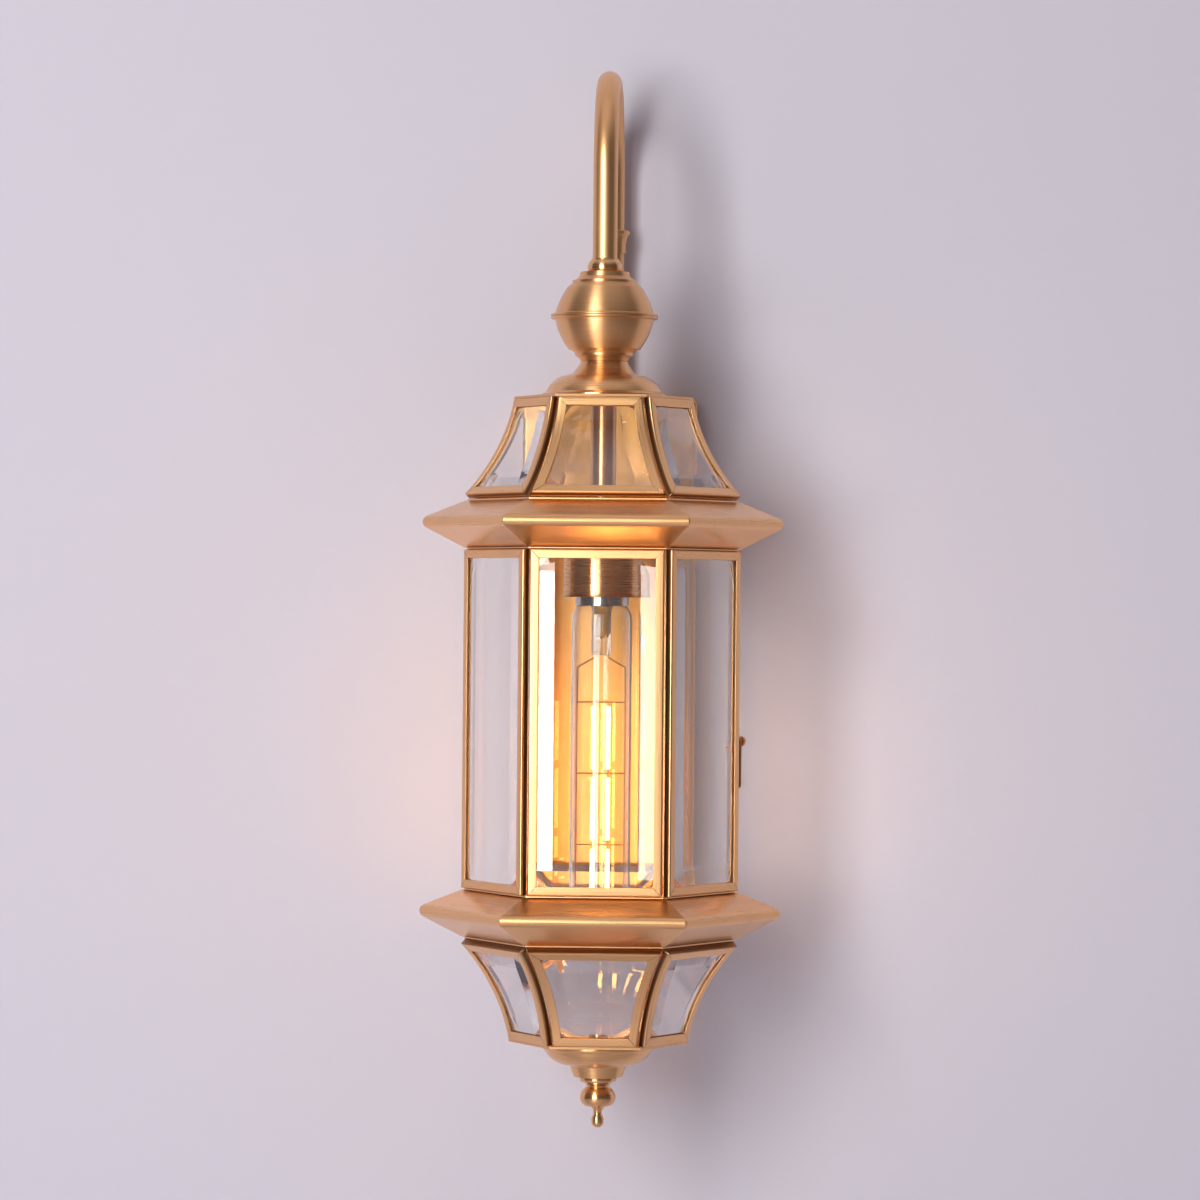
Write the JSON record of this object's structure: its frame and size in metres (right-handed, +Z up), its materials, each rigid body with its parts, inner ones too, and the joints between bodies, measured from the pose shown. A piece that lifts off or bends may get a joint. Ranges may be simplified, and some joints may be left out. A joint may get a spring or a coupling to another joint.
{
  "type": "outdoor wall light",
  "caption": "Outdoor wall light: hexagonal brass lantern with bevelled glass panels, flared roof and base, hung from a crook arm on a wall box.",
  "frame": {"origin": "centre of the back face of the wall strap, on the wall plane", "axes": "+Z up, +Y into the wall, +X to the right as seen from the front; the lantern hangs at -Y"},
  "size_m": [0.1772, 0.1847, 0.5226],
  "materials": {
    "brushed_brass": "brushed antique brass, lacquered",
    "pane_glass": "clear bevelled glass",
    "lamp_glass": "clear lamp glass",
    "zinc_steel": "zinc-plated steel",
    "white_ceramic": "glazed ceramic",
    "cap_metal": "plain lamp cap",
    "filament": "glowing filament rods and lead wires"
  },
  "bodies": {
    "lantern": {"arm_collar": "brushed_brass", "arm_coupling": "brushed_brass", "arm_tube": "brushed_brass", "back_box": "brushed_brass", "ball_lower": "brushed_brass", "ball_upper": "brushed_brass", "base_dish": "brushed_brass", "base_frame_front": "brushed_brass", "base_frame_front_left": "brushed_brass", "base_frame_front_right": "brushed_brass", "base_frame_rear": "brushed_brass", "base_frame_rear_left": "brushed_brass", "base_frame_rear_right": "brushed_brass", "base_glass_front": "pane_glass", "base_glass_front_left": "pane_glass", "base_glass_front_right": "pane_glass", "base_glass_rear": "pane_glass", "base_glass_rear_left": "pane_glass", "base_glass_rear_right": "pane_glass", "base_plate": "brushed_brass", "bell_cap": "brushed_brass", "body_frame_front": "brushed_brass", "body_frame_front_left": "brushed_brass", "body_frame_front_right": "brushed_brass", "body_frame_rear": "brushed_brass", "body_frame_rear_left": "brushed_brass", "body_glass_front": "pane_glass", "body_glass_front_left": "pane_glass", "body_glass_front_right": "pane_glass", "body_glass_rear": "pane_glass", "body_glass_rear_left": "pane_glass", "box_screws": "zinc_steel", "bulb_cap": "cap_metal", "bulb_filament": "filament", "bulb_glass": "lamp_glass", "centre_tube": "brushed_brass", "finial": "brushed_brass", "finial_nut": "brushed_brass", "hinge_pins": "brushed_brass", "lampholder": "white_ceramic", "lower_cornice": "brushed_brass", "roof_frame_front": "brushed_brass", "roof_frame_front_left": "brushed_brass", "roof_frame_front_right": "brushed_brass", "roof_frame_rear": "brushed_brass", "roof_frame_rear_left": "brushed_brass", "roof_frame_rear_right": "brushed_brass", "roof_glass_front": "pane_glass", "roof_glass_front_left": "pane_glass", "roof_glass_front_right": "pane_glass", "roof_glass_rear": "pane_glass", "roof_glass_rear_left": "pane_glass", "roof_glass_rear_right": "pane_glass", "socket_cup": "brushed_brass", "top_plate": "brushed_brass", "upper_cornice": "brushed_brass", "wall_strap": "zinc_steel"},
    "door": {"door_frame": "brushed_brass", "door_glass": "pane_glass"},
    "latch": {"latch": "brushed_brass"}
  },
  "joints": [
    {"name": "door_hinge", "type": "hinge", "parent": "lantern", "child": "door", "pos_m": [0.03464, -0.048, -0.0427], "axis": [0, 0, 1], "range_deg": [0, 95]},
    {"name": "latch_turn", "type": "hinge", "parent": "door", "child": "latch", "pos_m": [0.06705, -0.10414, -0.0527], "axis": [-0.866, -0.5, 0], "range_deg": [0, 90]}
  ]
}
